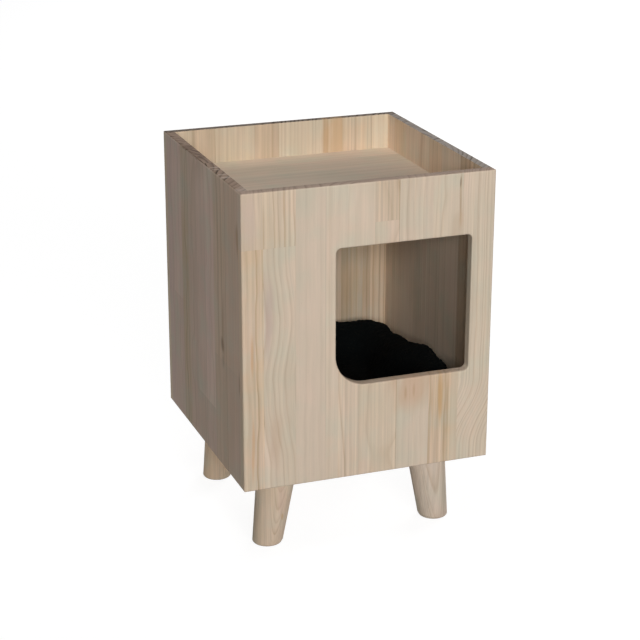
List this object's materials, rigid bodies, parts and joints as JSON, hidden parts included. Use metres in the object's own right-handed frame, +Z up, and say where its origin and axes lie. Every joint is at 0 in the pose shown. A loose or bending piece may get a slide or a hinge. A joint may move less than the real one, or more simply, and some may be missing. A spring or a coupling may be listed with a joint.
{
  "type": "cat condo",
  "caption": "Pine cat house: a square case on splayed tapered legs, with a round-cornered doorway in front, a tray let into its top and a loose plush bed inside.",
  "frame": {"origin": "on the ground under the middle of the case", "axes": "+Z up, the doorway faces -Y, +X to the right of someone who looks at the doorway"},
  "size_m": [0.4, 0.4, 0.586],
  "materials": {
    "pine": "sanded, unvarnished",
    "beech": "plain",
    "zinc": "zinc plated",
    "black_plush": "short pile"
  },
  "bodies": {
    "house": {"front_panel": "pine", "back_panel": "pine", "left_panel": "pine", "right_panel": "pine", "tray_panel": "pine", "floor_panel": "pine", "front_left_corner_dowels": "beech", "front_right_corner_dowels": "beech", "back_left_corner_dowels": "beech", "back_right_corner_dowels": "beech", "tray_dowels": "beech", "floor_dowels": "beech", "front_left_leg": "pine", "front_right_leg": "pine", "back_left_leg": "pine", "back_right_leg": "pine", "front_left_bolt": "zinc", "front_right_bolt": "zinc", "back_left_bolt": "zinc", "back_right_bolt": "zinc", "front_left_insert_nut": "zinc", "front_right_insert_nut": "zinc", "back_left_insert_nut": "zinc", "back_right_insert_nut": "zinc"},
    "bed": {"plush_bed": "black_plush"}
  },
  "joints": [
    {"name": "bed_lift", "type": "slide", "parent": "house", "child": "bed", "axis": [0, 0, 1], "range_m": [0, 0.135]}
  ]
}
